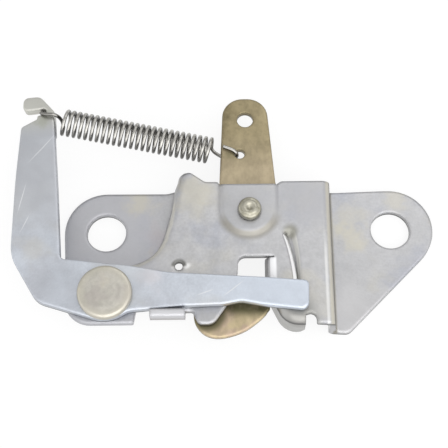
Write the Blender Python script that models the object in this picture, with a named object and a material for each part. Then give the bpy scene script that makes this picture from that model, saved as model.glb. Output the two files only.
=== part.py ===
"""Bonnet latch: pressed base plate, hook-shaped catch, ejector bell crank, tension spring and two rivets.

Sizes are in millimetres on a drawing frame whose origin is midway between the two mounting holes,
with +Z from the wing that is bolted to the car towards the ejector lever. The last step shifts the
parts so that the middle of the whole latch is over the row's origin.
"""
import math

import bmesh
import bpy
from mathutils import Vector
from mathutils.geometry import delaunay_2d_cdt

MM = 0.001

# clearances
GAP = 0.3

# largest distance in millimetres between an outline's arc and the facets that stand for it
ARC_ERROR = 0.02

# pivots
CATCH_PIVOT = (0.2, 2.6)
EJECTOR_PIVOT = (-38.6, -21.7)

# base plate: sheet and steps
SHEET = 2.0
JOGGLE = 9.0
BEND_R = 1.5
WALL_ANGLE = math.radians(85.0)
EAR_X = 40.0
MOUNT_HOLE_R = 5.5
LEFT_EAR_R = 11.75
RIGHT_EAR_R = 11.9
RIGHT_EAR_END = -45.0
RIGHT_FOOT_X = 23.75
PANEL_TOP_Y = 11.5
PANEL_LOW_Y = -29.3
LOBE_LOW_Y = -29.0
LEFT_FOOT = [
    (-19.8, 17.0),
    (-20.7, 12.4),
    (-21.4, 10.4),
    (-22.3, 4.8),
    (-23.6, -0.4),
    (-24.8, -4.7),
    (-27.0, -8.4),
    (-31.0, -10.7),
    (-36.0, -11.2),
    (-56.0, -11.2),
]

# base plate: boss round the catch pivot
BOSS_Y = 3.8
BOSS_R = 6.75
BOSS_RISE = 1.0
BOSS_SLOPE = 1.2
BOSS_NOTCH = 1.1
BOSS_EDGE_Y = PANEL_TOP_Y - BOSS_NOTCH

# base plate: guide wall on the right of the striker slot and round the tongue
SLOT_TOP_Y = -10.4
GUIDE_X = 6.7
GUIDE_Y = -26.8
GUIDE_START_Y = SLOT_TOP_Y - 0.4
GUIDE_TOP_Z = 6.2
GUIDE_END_Z = 1.6
GUIDE_SHALLOW = 0.6
GUIDE_CORNER = 0.86
GUIDE_CORNER_RISE = 2.4
GUIDE_LINE = [
    (GUIDE_X, GUIDE_START_Y, 0.0),
    (GUIDE_X, -18.4, 8.0),
    (10.85, GUIDE_Y, 3.2),
    (14.7, GUIDE_Y, 0.0),
]
NOTCH = (16.0, -28.1)
NOTCH_R = 1.65
NOTCH_END = 124.0

# base plate: stop tab
STOP_BEND_R = 1.4
STOP_RISE = 4.0
STOP_LEFT_X = -26.75
STOP_RIGHT_X = -17.4
STOP_FACE_Y = -26.2
STOP_LINE_Y = STOP_FACE_Y - SHEET / 2 + STOP_BEND_R
STOP_RELIEF = (-28.7, -24.6)
STOP_RELIEF_R = 1.9

# base plate: curved slit and the flap beside it, about the ejector pivot, angles in degrees
SLIT_MARGIN = 5.05
SLIT_R = GUIDE_X - EJECTOR_PIVOT[0] + SLIT_MARGIN
SLIT_LEAN = 0.55
SLIT_WIDTH = 1.15
SLIT_TAPER = 0.15
SLIT_LOW = 0.5
SLIT_TOP = 20.7
FLAP_WIDTH = 1.0
FLAP_SPREAD = 1.95
FLAP_FLAT = 0.55
FLAP_DROP = 1.2
FLAP_LOW = -1.5
FLAP_LOW_FULL = 2.0
FLAP_FULL = 19.8
FLAP_TOP = 21.9

# base plate: small dished hole
SMALL_HOLE = (-19.2, -13.1)
SMALL_HOLE_R = 1.25
SMALL_HOLE_DISH = 0.35
SMALL_HOLE_SLOPE = 1.15

# base plate: corners of its edge as x, y and radius, clockwise from the left ear
PLATE_TOP = [
    (-38.0, LEFT_EAR_R, 0.0),
    (-23.0, LEFT_EAR_R - 0.1, 4.0),
    (-19.0, 12.75, 1.5),
    (-16.65, 14.8, 1.65),
    (-12.1, PANEL_TOP_Y, 2.5),
    (-8.75, PANEL_TOP_Y, 1.5),
    (-7.1, BOSS_EDGE_Y, 1.5),
    (7.5, BOSS_EDGE_Y, 1.5),
    (9.1, PANEL_TOP_Y, 1.5),
    (25.0, PANEL_TOP_Y, 0.0),
    (38.0, RIGHT_EAR_R, 0.0),
]
PLATE_TIP = [
    (47.9, -8.95, 0.0),
    (27.0, -29.8, 2.4),
    (NOTCH[0] + NOTCH_R, PANEL_LOW_Y, 0.4),
    (NOTCH[0] + NOTCH_R, NOTCH[1] - 0.4, 0.0),
]
SLOT_AND_LOBE = [
    (GUIDE_X, GUIDE_START_Y + 0.1, 0.0),
    (GUIDE_X, SLOT_TOP_Y, 0.2),
    (-3.2, SLOT_TOP_Y, 2.0),
    (-3.2, -15.3, 12.0),
    (-6.5, -24.5, 6.0),
    (-9.9, PANEL_LOW_Y, 3.0),
    (-13.9, PANEL_LOW_Y, 1.6),
    (-15.45, STOP_LINE_Y, 0.7),
    (STOP_RIGHT_X + 0.5, STOP_LINE_Y, 0.0),
]
PLATE_CORNER = [
    (-30.65, -25.6, 0.0),
    (-31.3, LOBE_LOW_Y, 0.5),
    (-49.4, LOBE_LOW_Y, 7.3),
    (-51.25, -9.8, 20.0),
    (-EAR_X - LEFT_EAR_R, -1.0, 0.0),
]

# catch lever: holes, then its edge as x, y and radius, counter-clockwise from the top right
CATCH_T = 2.0
BOSS_TO_CATCH = 1.5
LEVER_EDGE = 0.45
HOLE_EDGE = 0.2
CABLE_HOLE = (-0.55, 31.9)
CABLE_HOLE_R = 2.3
CATCH_SPRING_HOLE = (-2.2, 21.15)
CATCH_SPRING_HOLE_R = 1.4
CATCH_BACK_EDGE = [
    (7.7, 12.4, 0.0),
    (5.5, 38.7, 5.8),
    (-6.8, 38.7, 5.8),
    (-8.2, 9.0, 40.0),
    (-9.6, -6.0, 25.0),
    (-15.3, -22.6, 0.0),
]
CATCH_HOOK_EDGE = [
    (-15.4, -25.0),
    (-14.75, -28.6),
    (-12.2, -31.55),
    (-8.0, -32.45),
    (-1.9, -30.75),
    (3.1, -27.2),
    (4.6, -25.4),
]
CATCH_FRONT_EDGE = [
    (5.3, -24.5, 0.0),
    (5.4, -21.95, 1.1),
    (-5.6, -21.8, 4.5),
    (-5.3, -9.1, 4.5),
    (8.3, -3.6, 5.5),
    (8.5, 4.0, 25.0),
    (7.8, 12.0, 0.0),
]

# ejector lever: throat below the hooked head, crease, and the lever's edge as x, y and radius,
# counter-clockwise from the inner corner
EJECTOR_T = 2.7
THROAT_X = -57.0
THROAT_Y = 33.15
THROAT_WIDTH = 1.9
KINK_START = (-54.7, 24.4)
KINK_END = (-60.4, 17.5)
KINK_ANGLE = math.radians(9.0)
KINK_R = 3.0
EJECTOR_EDGE = [
    (-50.95, -11.55, 1.3),
    (-52.5, 8.3, 60.0),
    (-53.9, 24.0, 60.0),
    (-54.8, 33.1, 1.0),
    (-59.2, 38.35, 2.5),
    (-64.15, 38.25, 1.6),
    (-64.0, 33.7, 1.5),
    (THROAT_X, THROAT_Y + THROAT_WIDTH / 2, 0.85),
    (THROAT_X, THROAT_Y - THROAT_WIDTH / 2, 0.85),
    (-59.6, THROAT_Y - THROAT_WIDTH / 2 - 0.2, 0.55),
    (-59.7, 30.75, 0.5),
    (-64.1, 28.4, 1.3),
    (-64.35, 14.0, 0.0),
    (-64.5, -10.7, 12.0),
    (-56.9, -23.6, 6.0),
    (-38.0, -29.5, 9.5),
    (-32.3, -26.35, 4.0),
    (-17.4, -25.15, 0.0),
    (-7.1, -24.8, 8.0),
    (-2.5, -23.85, 5.0),
    (3.25, -24.95, 20.0),
    (15.4, -26.45, 1.9),
    (15.65, -18.25, 1.3),
    (3.5, -17.25, 40.0),
    (-21.8, -15.65, 15.0),
    (-32.5, -13.65, 40.0),
]

# rivets and washer
RIVET_CHAMFER = 0.3
SPACER_MARGIN = 0.1
SPACER_WALL = 1.15
SPACER_R = CATCH_PIVOT[1] - BOSS_Y + BOSS_R - SPACER_MARGIN
SPACER_CHAMFER = 0.15
CATCH_SHOULDER_R = SPACER_R - SPACER_WALL - GAP
CATCH_NECK_R = 2.4
CATCH_BACK_HEAD_R = 6.2
CATCH_BACK_HEAD_T = 2.0
CATCH_BACK_CORNER = 0.6
CATCH_PEEN_R = 3.2
CATCH_PEEN_T = 2.2
CATCH_PEEN_CROWN = 0.2
CATCH_PEEN_CORNER = 0.9
PUNCH_R = 1.1
PUNCH_DEPTH = 0.75
EJECTOR_SHOULDER_R = 4.2
EJECTOR_NECK_R = 3.0
EJECTOR_HEAD_R = 7.3
EJECTOR_HEAD_T = 2.5
EJECTOR_CROWN = 0.2
EJECTOR_CORNER = 0.9
EJECTOR_BACK_HEAD_R = 5.4
EJECTOR_BACK_HEAD_T = 1.5
EJECTOR_BACK_CORNER = 0.8

# spring: wire, coil, and its hooks as offsets from the throat's end and from the catch's spring hole
WIRE_R = 0.38
COIL_R = 3.4
COIL_TURNS = 25.4
COIL_LEFT = (-52.06, 29.91, 12.0)
COIL_RIGHT = (-10.36, 22.33, 8.2)
COIL_STEPS = 10
WIRE_SIDES = 6
NECK_HOOK = [
    (2.4, -0.7, -2.1),
    (0.8, -0.3, -2.2),
    (-0.6, 0.0, -1.9),
    (-1.5, 0.1, -0.8),
    (-1.75, 0.05, 0.6),
    (-1.2, -0.3, 1.9),
    (0.0, -0.7, 2.5),
    (1.4, -0.8, 2.7),
    (2.6, -0.95, 3.1),
    (3.8, -1.7, 3.6),
]
CATCH_HOOK = [
    (-7.2, 1.9, -1.9),
    (-5.3, 0.5, -1.72),
    (-3.8, 0.1, -1.7),
    (-2.2, 0.0, -1.7),
    (-1.05, 0.0, -1.2),
    (-0.75, 0.0, 0.0),
    (-1.05, 0.25, 1.3),
    (-2.0, 0.95, 1.72),
    (-4.7, 2.1, 1.7),
]

# heights that follow from the sizes above
EAR_MID = SHEET / 2
PANEL_MID = EAR_MID + JOGGLE
PANEL_FRONT = PANEL_MID + SHEET / 2
PANEL_BACK = PANEL_MID - SHEET / 2
BOSS_FRONT = PANEL_FRONT + BOSS_RISE
BOSS_BACK = PANEL_BACK + BOSS_RISE
CATCH_FRONT = BOSS_BACK - BOSS_TO_CATCH
CATCH_BACK = CATCH_FRONT - CATCH_T
EJECTOR_BACK = PANEL_FRONT + GAP
EJECTOR_FRONT = EJECTOR_BACK + EJECTOR_T

STEEL = {
    "base_plate": (0.62, 0.61, 0.63, 1.0),
    "ejector_lever": (0.58, 0.62, 0.68, 1.0),
    "catch_lever": (0.45, 0.39, 0.27, 1.0),
    "tension_spring": (0.30, 0.30, 0.31, 1.0),
    "ejector_rivet": (0.66, 0.63, 0.55, 1.0),
    "catch_rivet": (0.64, 0.62, 0.57, 1.0),
    "catch_spacer": (0.55, 0.53, 0.48, 1.0),
}


def clear_scene():
    """Empty the file, so that only the latch is left in it."""
    for item in list(bpy.data.objects):
        bpy.data.objects.remove(item, do_unlink=True)


def material(name, colour):
    """Return one plain metal material for a piece."""
    mat = bpy.data.materials.new(name)
    mat.use_nodes = True
    shader = mat.node_tree.nodes["Principled BSDF"]
    shader.inputs["Base Color"].default_value = colour
    shader.inputs["Metallic"].default_value = 1.0
    shader.inputs["Roughness"].default_value = 0.35
    return mat


def arc(centre, radius, start, end, count):
    """Return points on an arc, angles in degrees."""
    points = []
    for i in range(count + 1):
        a = math.radians(start + (end - start) * i / count)
        points.append((centre[0] + radius * math.cos(a), centre[1] + radius * math.sin(a)))
    return points


def circle(centre, radius, count):
    """Return a closed ring of points, the first one not repeated."""
    return arc(centre, radius, 0.0, 360.0, count)[:-1]


def rounded(corners, closed=False):
    """Return a path through corners given as x, y and radius, with an arc at each round one."""
    path = []
    last = len(corners) - 1
    for i, (x, y, radius) in enumerate(corners):
        if radius == 0.0 or (not closed and i in (0, last)):
            path.append((x, y))
            continue
        here = Vector((x, y))
        back = (Vector(corners[i - 1][:2]) - here).normalized()
        ahead = (Vector(corners[(i + 1) % (last + 1)][:2]) - here).normalized()
        turn = math.pi - back.angle(ahead)
        centre = here + (back + ahead).normalized() * (radius / math.cos(turn / 2))
        first = here + back * (radius * math.tan(turn / 2)) - centre
        start = math.atan2(first.y, first.x)
        way = 1.0 if back.y * ahead.x - back.x * ahead.y > 0 else -1.0
        count = max(2, math.ceil(turn / (2 * math.acos(1 - ARC_ERROR / radius))))
        for k in range(count + 1):
            a = start + way * turn * k / count
            path.append((centre.x + radius * math.cos(a), centre.y + radius * math.sin(a)))
    return path


def smooth(points, step):
    """Return a curve through the points, resampled at about the given step."""
    result = []
    last = len(points) - 1
    for i in range(last):
        p0 = points[max(i - 1, 0)]
        p1 = points[i]
        p2 = points[i + 1]
        p3 = points[min(i + 2, last)]
        count = max(1, round(math.dist(p1, p2) / step))
        for k in range(count):
            t = k / count
            a = -0.5 * t ** 3 + t ** 2 - 0.5 * t
            b = 1.5 * t ** 3 - 2.5 * t ** 2 + 1
            c = -1.5 * t ** 3 + 2 * t ** 2 + 0.5 * t
            d = 0.5 * t ** 3 - 0.5 * t ** 2
            result.append(tuple(a * p0[j] + b * p1[j] + c * p2[j] + d * p3[j] for j in range(len(p1))))
    result.append(tuple(points[-1]))
    return result


def resample(points, step):
    """Split the straight pieces of a path so that none is much longer than the step."""
    result = []
    for p, q in zip(points, points[1:]):
        count = max(1, round(math.dist(p, q) / step))
        for k in range(count):
            t = k / count
            result.append((p[0] + (q[0] - p[0]) * t, p[1] + (q[1] - p[1]) * t))
    result.append(points[-1])
    return result


def normals(path):
    """Return the unit normals on the right-hand side of an open path."""
    result = []
    last = len(path) - 1
    for i in range(last + 1):
        a = path[max(i - 1, 0)]
        b = path[min(i + 1, last)]
        dx = b[0] - a[0]
        dy = b[1] - a[1]
        size = math.hypot(dx, dy)
        result.append((dy / size, -dx / size))
    return result


def offset(path, distance):
    """Shift an open path to its right-hand side; negative goes left."""
    sides = normals(path)
    return [(p[0] + n[0] * distance, p[1] + n[1] * distance) for p, n in zip(path, sides)]


def inset_ring(ring, distance):
    """Shrink a closed counter-clockwise ring, or grow it when the distance is negative."""
    result = []
    count = len(ring)
    for i in range(count):
        a = Vector(ring[i - 1])
        b = Vector(ring[i])
        c = Vector(ring[(i + 1) % count])
        e = (b - a).normalized()
        f = (c - b).normalized()
        n = Vector((-e.y, e.x)) + Vector((-f.y, f.x))
        n.normalize()
        cosine = max(0.6, n.dot(Vector((-e.y, e.x))))
        result.append(tuple(b + n * (distance / cosine)))
    return result


def area(ring):
    """Return the signed area of a closed ring."""
    return sum(a[0] * b[1] - b[0] * a[1] for a, b in zip(ring, ring[1:] + ring[:1])) / 2


def counter_clockwise(ring):
    """Return the ring in counter-clockwise order."""
    if area(ring) < 0:
        return ring[::-1]
    return ring


def inside(point, ring):
    """Tell whether a point is inside a closed ring."""
    x, y = point
    found = False
    for (x0, y0), (x1, y1) in zip(ring, ring[1:] + ring[:1]):
        if (y0 > y) != (y1 > y) and x < (x1 - x0) * (y - y0) / (y1 - y0) + x0:
            found = not found
    return found


def triangulate(outer, holes, lines=(), dots=()):
    """Fill a flat outline with triangles that follow the given lines."""
    outer = [tuple(Vector(p)) for p in outer]
    holes = [[tuple(Vector(p)) for p in hole] for hole in holes]
    coords = []
    edges = []
    for ring in [outer, *holes]:
        start = len(coords)
        coords.extend(Vector(p) for p in ring)
        count = len(ring)
        edges.extend((start + i, start + (i + 1) % count) for i in range(count))
    for line in lines:
        start = len(coords)
        coords.extend(Vector(p) for p in line)
        edges.extend((start + i, start + i + 1) for i in range(len(line) - 1))
    coords.extend(Vector(p) for p in dots)
    points, _, faces, _, _, _ = delaunay_2d_cdt(coords, edges, [], 0, 1e-4)
    kept = []
    for face in faces:
        mid = tuple(sum(points[i][j] for i in face) / len(face) for j in range(2))
        if inside(mid, outer) and not any(inside(mid, hole) for hole in holes):
            kept.append(tuple(face))
    used = sorted({i for face in kept for i in face})
    index = {old: new for new, old in enumerate(used)}
    return [tuple(points[i]) for i in used], [tuple(index[i] for i in face) for face in kept]


def add_mesh(name, points, faces, origin=(0.0, 0.0, 0.0)):
    """Make an object from points in millimetres, with its origin at the given place."""
    mesh = bpy.data.meshes.new(name)
    scaled = [tuple((p[j] - origin[j]) * MM for j in range(3)) for p in points]
    mesh.from_pydata(scaled, [], faces)
    mesh.validate()
    mesh.materials.append(material(name, STEEL[name]))
    item = bpy.data.objects.new(name, mesh)
    item.location = [origin[j] * MM for j in range(3)]
    bpy.context.scene.collection.objects.link(item)
    return item


def lathe(name, profile, centre, count):
    """Turn a profile of (radius, height) points about an upright axis."""
    points = []
    rows = []
    for radius, height in profile:
        if radius < 1e-6:
            rows.append([len(points)])
            points.append((centre[0], centre[1], height))
            continue
        rows.append(list(range(len(points), len(points) + count)))
        points.extend((x, y, height) for x, y in circle(centre, radius, count))
    faces = []
    closed = profile[0][0] > 1e-6
    pairs = list(zip(rows, rows[1:]))
    if closed:
        pairs.append((rows[-1], rows[0]))
    for low, high in pairs:
        for i in range(count):
            k = (i + 1) % count
            face = [low[i % len(low)], low[k % len(low)], high[k % len(high)], high[i % len(high)]]
            face = list(dict.fromkeys(face))
            faces.append(face)
    return add_mesh(name, points, faces, (centre[0], centre[1], 0.0))


def split_by(ring, line):
    """Add the two points at which a straight line crosses a ring."""
    (ax, ay), (bx, by) = line
    result = []
    marks = []
    for p, q in zip(ring, ring[1:] + ring[:1]):
        result.append(p)
        side_p = (bx - ax) * (p[1] - ay) - (by - ay) * (p[0] - ax)
        side_q = (bx - ax) * (q[1] - ay) - (by - ay) * (q[0] - ax)
        if side_p * side_q >= 0:
            continue
        t = side_p / (side_p - side_q)
        place = (p[0] + (q[0] - p[0]) * t, p[1] + (q[1] - p[1]) * t)
        if math.dist(place, (ax, ay)) > math.dist(line[0], line[1]):
            continue
        result.append(place)
        marks.append(place)
    return result, marks


def edge_levels(edge, low, high):
    """Return inset and height of the rows that soften an edge, more on the front than on the back."""
    return [
        (edge, high),
        (edge * 0.3, high - edge * 0.3),
        (0.0, high - edge),
        (0.0, low + edge * 0.6),
        (edge * 0.6, low),
    ]


def slab(name, outer, holes, low, high, origin, creases=(), shape=None):
    """Make a flat blank with softened edges; shape moves its points to bend it."""
    outer = counter_clockwise(outer)
    marks = []
    for crease in creases:
        outer, found = split_by(outer, crease)
        marks.append(found)
    rings = [outer, *(counter_clockwise(hole)[::-1] for hole in holes)]
    stacks = [edge_levels(LEVER_EDGE if ring is outer else HOLE_EDGE, low, high) for ring in rings]
    points = []
    faces = []
    for level, flip in ((0, False), (-1, True)):
        bounds = [inset_ring(ring, stack[level][0]) for ring, stack in zip(rings, stacks)]
        height = stacks[0][level][1]
        lines = [[bounds[0][outer.index(p)] for p in pair] for pair in marks]
        flat, triangles = triangulate(bounds[0], bounds[1:], lines)
        start = len(points)
        points.extend((x, y, height) for x, y in flat)
        for face in triangles:
            face = tuple(start + i for i in face)
            faces.append(face[::-1] if flip else face)
    for ring, stack in zip(rings, stacks):
        rows = []
        for distance, height in stack:
            row = inset_ring(ring, distance) if distance else ring
            rows.append(range(len(points), len(points) + len(row)))
            points.extend((x, y, height) for x, y in row)
        for upper, lower in zip(rows, rows[1:]):
            for i in range(len(upper)):
                k = (i + 1) % len(upper)
                faces.append((upper[i], lower[i], lower[k], upper[k]))
    if shape:
        points = [shape(p) for p in points]
    item = add_mesh(name, points, faces, origin)
    weld(item)
    return item


def weld(item):
    """Join points that coincide."""
    work = bmesh.new()
    work.from_mesh(item.data)
    bmesh.ops.remove_doubles(work, verts=work.verts, dist=1e-7)
    bmesh.ops.recalc_face_normals(work, faces=work.faces)
    work.to_mesh(item.data)
    work.free()


def bend_profile(distance, rise, radius, angle):
    """Return the height gained across a double bend, from its lower tangent line."""
    run = radius * math.sin(angle)
    lift = radius * (1 - math.cos(angle))
    straight = (rise - 2 * lift) / math.tan(angle)
    total = 2 * run + straight
    if distance <= 0:
        return 0.0
    if distance >= total:
        return rise
    if distance < run:
        return radius - math.sqrt(radius ** 2 - distance ** 2)
    if distance > run + straight:
        return rise - (radius - math.sqrt(radius ** 2 - (total - distance) ** 2))
    return lift + (distance - run) * math.tan(angle)


def bend_lines(rise, radius, angle, count=4):
    """Return the distances from the lower tangent line at which facets meet."""
    run = radius * math.sin(angle)
    lift = radius * (1 - math.cos(angle))
    total = 2 * run + (rise - 2 * lift) / math.tan(angle)
    steps = [radius * math.sin(angle * i / count) for i in range(count + 1)]
    return steps + [total - s for s in reversed(steps)]


def distance_to(path, point):
    """Return the signed distance to a path, positive on its left-hand side."""
    best = 1e9
    sign = 1.0
    for p, q in zip(path, path[1:]):
        dx = q[0] - p[0]
        dy = q[1] - p[1]
        t = ((point[0] - p[0]) * dx + (point[1] - p[1]) * dy) / (dx * dx + dy * dy)
        t = min(1.0, max(0.0, t))
        ex = point[0] - p[0] - t * dx
        ey = point[1] - p[1] - t * dy
        d = math.hypot(ex, ey)
        if d < best - 1e-9:
            best = d
            sign = 1.0 if dx * ey - dy * ex > 0 else -1.0
    return best * sign


def ease(t):
    """Return a smooth step from 0 to 1."""
    t = min(1.0, max(0.0, t))
    return t * t * (3 - 2 * t)


def left_foot():
    """Return the line where the step to the raised panel starts beside and below the left ear."""
    return smooth(LEFT_FOOT, 1.5)


def right_foot():
    """Return the line where the step starts beside the right ear, panel on its left-hand side."""
    return resample([(RIGHT_FOOT_X, -33.0), (RIGHT_FOOT_X, 17.0)], 2.5)


def boss_distance(x, y):
    """Return the distance outside the flat top of the boss round the catch pivot."""
    return math.hypot(x, min(0.0, y - BOSS_Y)) - BOSS_R


def boss_line(distance):
    """Return the outline of the boss at a distance outside its flat top."""
    r = BOSS_R + distance
    top = PANEL_TOP_Y + 4.0
    bow = arc((0.0, BOSS_Y), r, 180.0, 360.0, 22)
    left = resample([(-r, top), (-r, BOSS_Y)], 2.0)[:-1]
    right = resample([(r, BOSS_Y), (r, top)], 2.0)[1:]
    return left + bow + right


def flap_polar(x, y):
    """Return the distance and angle of a point about the ejector pivot."""
    dx = x - EJECTOR_PIVOT[0]
    dy = y - EJECTOR_PIVOT[1]
    return math.hypot(dx, dy), math.degrees(math.atan2(dy, dx))


def flap_radii(angle):
    """Return the distances of the slit's two sides and of the flap's bend at an angle."""
    share = (angle - SLIT_LOW) / (SLIT_TOP - SLIT_LOW)
    inner = SLIT_R + SLIT_LEAN * share
    outer = inner + SLIT_WIDTH - SLIT_TAPER * share
    return inner, outer, outer + FLAP_WIDTH + FLAP_SPREAD * share


def flap_line(part, low, high, count):
    """Return a curve beside the slit: part 0 and 1 are its sides, 1 to 2 lies on the flap."""
    points = []
    for i in range(count + 1):
        angle = low + (high - low) * i / count
        radii = flap_radii(angle)
        k = min(int(part), 1)
        radius = radii[k] + (radii[k + 1] - radii[k]) * (part - k)
        a = math.radians(angle)
        points.append((EJECTOR_PIVOT[0] + radius * math.cos(a), EJECTOR_PIVOT[1] + radius * math.sin(a)))
    return points


def flap_drop(x, y):
    """Return how far the flap beside the curved slit lies below the panel."""
    radius, angle = flap_polar(x, y)
    inner, outer, bend = flap_radii(angle)
    if radius <= inner or radius >= bend:
        return 0.0
    if radius < outer:
        across = ease((radius - inner) / (outer - inner))
    else:
        share = (radius - outer) / (bend - outer)
        across = 1.0 - ease((share - FLAP_FLAT) / (1.0 - FLAP_FLAT))
    along = ease((FLAP_TOP - angle) / (FLAP_TOP - FLAP_FULL))
    along *= ease((angle - FLAP_LOW) / (FLAP_LOW_FULL - FLAP_LOW))
    return FLAP_DROP * across * along


def plate_height(x, y, feet):
    """Return the height of the base plate's middle surface."""
    height = EAR_MID
    left = distance_to(feet[0], (x, y))
    right = distance_to(feet[1], (x, y))
    height += bend_profile(min(left, right), JOGGLE, BEND_R, WALL_ANGLE)
    height += BOSS_RISE * (1.0 - ease(boss_distance(x, y) / BOSS_SLOPE))
    height -= flap_drop(x, y)
    away = math.dist((x, y), SMALL_HOLE) - SMALL_HOLE_R
    height -= SMALL_HOLE_DISH * (1.0 - ease(away / SMALL_HOLE_SLOPE))
    return height


def guide_line():
    """Return the bend line of the striker guide, down the slot's right side and round the tongue."""
    return resample(rounded(GUIDE_LINE), 1.2)


def stop_line():
    """Return the bend line of the tab that the ejector lever rests on."""
    return resample([(STOP_LEFT_X, STOP_LINE_Y), (STOP_RIGHT_X, STOP_LINE_Y)], 2.3)


def plate_outline():
    """Return the edge of the base plate, seen from the front, clockwise from the left ear."""
    edge = arc((-EAR_X, 0.0), LEFT_EAR_R, 180.0, 90.0, 18)
    edge += resample(rounded(PLATE_TOP), 2.0)
    edge += arc((EAR_X, 0.0), RIGHT_EAR_R, 90.0, RIGHT_EAR_END, 27)
    edge += resample(rounded(PLATE_TIP), 3.0)
    edge += arc(NOTCH, NOTCH_R, 0.0, NOTCH_END, 8)
    edge += guide_line()[::-1]
    edge += resample(rounded(SLOT_AND_LOBE), 1.8)
    edge += stop_line()[::-1]
    edge += arc(STOP_RELIEF, STOP_RELIEF_R, 0.0, 180.0, 10)
    edge += resample(rounded(PLATE_CORNER), 2.4)
    return edge


def skirt(points, faces, line, side, radius, turn, ends):
    """Bend the sheet through a right angle along a line of its edge, then run it straight."""
    row = [min(range(len(points)), key=lambda i: math.dist(points[i][:2], p)) for p in line]
    outward = [(n[0] * side, n[1] * side) for n in normals(line)]
    steps = 5
    straight = 3
    rows = [row]
    for k in range(1, steps + straight + 1):
        fresh = []
        for i, start in enumerate(row):
            x, y, z = points[start]
            if k <= steps:
                a = math.radians(90.0 * k / steps)
                out = radius * math.sin(a)
                lift = turn * radius * (1 - math.cos(a))
                level = z + lift
            else:
                out = radius
                bent = z + turn * radius
                level = bent + (ends[i] - bent) * (k - steps) / straight
            fresh.append(len(points))
            points.append((x + outward[i][0] * out, y + outward[i][1] * out, level))
        rows.append(fresh)
    for upper, lower in zip(rows, rows[1:]):
        for i in range(len(upper) - 1):
            faces.append((upper[i], upper[i + 1], lower[i + 1], lower[i]))


def guide_ends(count):
    """Return the height at which the guide wall ends, along its bend line."""
    ends = []
    for i in range(count):
        t = i / (count - 1)
        level = GUIDE_TOP_Z + (GUIDE_END_Z - GUIDE_TOP_Z) * ease(t / GUIDE_SHALLOW)
        if t > GUIDE_CORNER:
            s = (t - GUIDE_CORNER) / (1.0 - GUIDE_CORNER)
            level += GUIDE_CORNER_RISE * (1.0 - math.sqrt(max(0.0, 1.0 - s * s)))
        ends.append(level)
    return ends


def base_plate():
    """Make the pressed plate: ears, stepped panel, boss, flap, guide wall and stop tab."""
    feet = (left_foot(), right_foot())
    outer = plate_outline()
    slit = flap_line(0, SLIT_LOW, SLIT_TOP, 22)
    slit += flap_line(1, SLIT_TOP, SLIT_LOW, 22)
    holes = [
        circle((-EAR_X, 0.0), MOUNT_HOLE_R, 48),
        circle((EAR_X, 0.0), MOUNT_HOLE_R, 48),
        circle(SMALL_HOLE, SMALL_HOLE_R, 24),
        circle(CATCH_PIVOT, CATCH_NECK_R + GAP, 28),
        circle(EJECTOR_PIVOT, EJECTOR_NECK_R + GAP, 32),
        slit,
    ]
    lines = []
    for d in bend_lines(JOGGLE, BEND_R, WALL_ANGLE):
        lines.append(offset(feet[0], -d))
        lines.append(offset(feet[1], -d))
    for share in (0.0, 0.25, 0.5, 0.75, 1.0):
        lines.append(boss_line(BOSS_SLOPE * share))
    for part in (0, 1):
        lines.append(flap_line(part, SLIT_TOP, FLAP_TOP, 4))
    for part in (1 + FLAP_FLAT, 1.6, 1.8, 2.0):
        lines.append(flap_line(part, FLAP_LOW, FLAP_TOP, 26))
    for share in (0.33, 0.67, 1.0):
        ring = circle(SMALL_HOLE, SMALL_HOLE_R + SMALL_HOLE_SLOPE * share, 24)
        lines.append(ring + ring[:1])
    flat, triangles = triangulate(outer, holes, lines)
    points = [(x, y, plate_height(x, y, feet)) for x, y in flat]
    faces = list(triangles)
    guide = guide_line()
    skirt(points, faces, guide, 1.0, BEND_R, -1.0, guide_ends(len(guide)))
    stop = stop_line()
    top = PANEL_FRONT + STOP_RISE
    skirt(points, faces, stop, 1.0, STOP_BEND_R, 1.0, [top] * len(stop))
    item = add_mesh("base_plate", points, faces)
    weld(item)
    solid = item.modifiers.new("sheet", "SOLIDIFY")
    solid.thickness = SHEET * MM
    solid.offset = 0.0
    solid.use_even_offset = True
    solid.use_quality_normals = True
    solid.use_rim = True
    return item


def catch_outline():
    """Return the edge of the catch: spring arm, pivot eye and the hook below the striker slot."""
    edge = resample(rounded(CATCH_BACK_EDGE), 4.0)
    edge += smooth(CATCH_HOOK_EDGE, 1.0)
    edge += resample(rounded(CATCH_FRONT_EDGE), 4.0)
    return edge


def catch_lever():
    """Make the catch blank with its pivot bore, cable hole and spring hole."""
    holes = [
        circle(CATCH_PIVOT, CATCH_SHOULDER_R + GAP, 40),
        circle(CABLE_HOLE, CABLE_HOLE_R, 28),
        circle(CATCH_SPRING_HOLE, CATCH_SPRING_HOLE_R, 20),
    ]
    origin = (CATCH_PIVOT[0], CATCH_PIVOT[1], (CATCH_FRONT + CATCH_BACK) / 2)
    return slab("catch_lever", catch_outline(), holes, CATCH_BACK, CATCH_FRONT, origin)


def ejector_outline():
    """Return the edge of the bell crank: striker arm, pivot bulge, spring arm and hooked head."""
    path = rounded(EJECTOR_EDGE, closed=True)
    return resample(path + path[:1], 4.0)[:-1]


def kink_frame():
    """Return the crease point, its direction and the side that is bent back."""
    start = Vector((*KINK_START, 0.0))
    along = (Vector((*KINK_END, 0.0)) - start).normalized()
    side = Vector((along.y, -along.x, 0.0))
    if side.y < 0:
        side.negate()
    return start, along, side


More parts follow.
